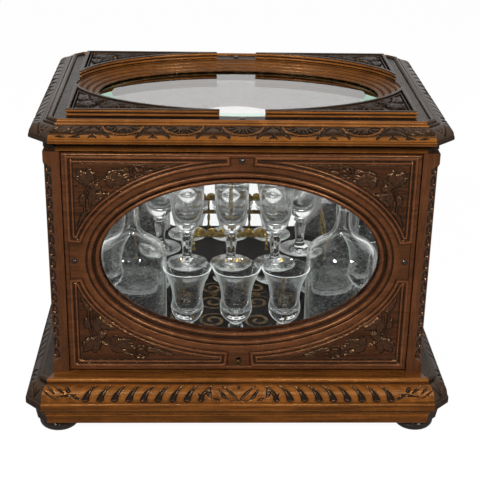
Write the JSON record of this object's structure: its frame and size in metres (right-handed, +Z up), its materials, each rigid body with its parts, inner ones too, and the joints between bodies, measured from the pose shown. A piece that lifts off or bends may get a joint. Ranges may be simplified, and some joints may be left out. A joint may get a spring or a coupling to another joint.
{
  "type": "tantalus",
  "caption": "Carved walnut liqueur cabinet with a hinged lid and front, oval bevelled windows, and a lift-out gilt caddy of crystal decanters and stemmed glasses.",
  "frame": {"origin": "on the ground, under the centre of the cabinet", "axes": "+X to the right seen from the front, along the cabinet's width; +Y to the back; +Z up. The windowed front faces -Y."},
  "size_m": [0.3796, 0.2836, 0.2965],
  "materials": {
    "case_walnut": "satin",
    "front_walnut": "satin",
    "carved_walnut": "satin",
    "carved_walnut_lid": "satin",
    "plinth_walnut": "satin",
    "cornice_walnut": "satin",
    "dark_walnut": "satin",
    "ebonised_feet": "gloss",
    "bevelled_glass": "gloss",
    "etched_crystal": "gloss",
    "gilt_brass": "gloss",
    "brass_fittings": "satin",
    "lock_brass": "satin",
    "bolt_steel": "satin",
    "black_lacquer": "gloss"
  },
  "bodies": {
    "case": {"base_plinth": "plinth_walnut", "base_floor": "dark_walnut", "foot_front_left": "ebonised_feet", "foot_front_right": "ebonised_feet", "foot_rear_left": "ebonised_feet", "foot_rear_right": "ebonised_feet", "post_front_left": "case_walnut", "post_front_right": "case_walnut", "post_rear_left": "case_walnut", "post_rear_right": "case_walnut", "side_panel_left": "case_walnut", "side_panel_right": "case_walnut", "back_panel": "case_walnut", "side_glass_left": "bevelled_glass", "side_glass_right": "bevelled_glass", "back_glass": "bevelled_glass", "case_glazing_beads": "dark_walnut", "strike_plate": "brass_fittings", "hinge_leaves_fixed": "brass_fittings", "hinge_pins": "brass_fittings"},
    "lid": {"lid_frame": "cornice_walnut", "lid_glass": "bevelled_glass", "lid_glazing_bead": "dark_walnut", "lid_panel_front_left": "carved_walnut_lid", "lid_panel_front_right": "carved_walnut_lid", "lid_panel_rear_left": "carved_walnut_lid", "lid_panel_rear_right": "carved_walnut_lid", "lid_studs": "dark_walnut", "hinge_leaves_moving": "brass_fittings", "front_frame": "front_walnut", "front_panel_upper_left": "carved_walnut", "front_panel_upper_right": "carved_walnut", "front_panel_lower_left": "carved_walnut", "front_panel_lower_right": "carved_walnut", "front_glass": "bevelled_glass", "front_glazing_bead": "dark_walnut", "front_studs": "dark_walnut", "lock_case": "lock_brass"},
    "bolt": {"lock_bolt": "bolt_steel"},
    "caddy": {"caddy_tray": "black_lacquer", "caddy_columns": "gilt_brass", "caddy_tier": "black_lacquer", "caddy_gallery": "gilt_brass", "caddy_handle": "gilt_brass", "decanter_front_left": "etched_crystal", "decanter_front_right": "etched_crystal", "decanter_rear_left": "etched_crystal", "decanter_rear_right": "etched_crystal", "bell_glasses_front": "etched_crystal", "bell_glasses_rear": "etched_crystal", "bell_glasses_side": "etched_crystal", "tulip_glasses_front": "etched_crystal", "tulip_glasses_rear": "etched_crystal", "tulip_glasses_side": "etched_crystal"},
    "stopper_fl": {"stopper_front_left": "etched_crystal"},
    "stopper_fr": {"stopper_front_right": "etched_crystal"},
    "stopper_rl": {"stopper_rear_left": "etched_crystal"},
    "stopper_rr": {"stopper_rear_right": "etched_crystal"}
  },
  "joints": [
    {"name": "lid_hinge", "type": "hinge", "parent": "case", "child": "lid", "pos_m": [0, 0.1202, 0.26565], "axis": [-1, 0, 0], "range_deg": [0, 110]},
    {"name": "lock_bolt_throw", "type": "slide", "parent": "lid", "child": "bolt", "axis": [0, 0, -1], "range_m": [0, 0.005]},
    {"name": "caddy_lift", "type": "slide", "parent": "case", "child": "caddy", "axis": [0, 0, 1], "range_m": [0, 0.01]},
    {"name": "stopper_front_left_lift", "type": "slide", "parent": "caddy", "child": "stopper_fl", "axis": [0, 0, 1], "range_m": [0, 0.016]},
    {"name": "stopper_front_right_lift", "type": "slide", "parent": "caddy", "child": "stopper_fr", "axis": [0, 0, 1], "range_m": [0, 0.016]},
    {"name": "stopper_rear_left_lift", "type": "slide", "parent": "caddy", "child": "stopper_rl", "axis": [0, 0, 1], "range_m": [0, 0.016]},
    {"name": "stopper_rear_right_lift", "type": "slide", "parent": "caddy", "child": "stopper_rr", "axis": [0, 0, 1], "range_m": [0, 0.016]}
  ]
}
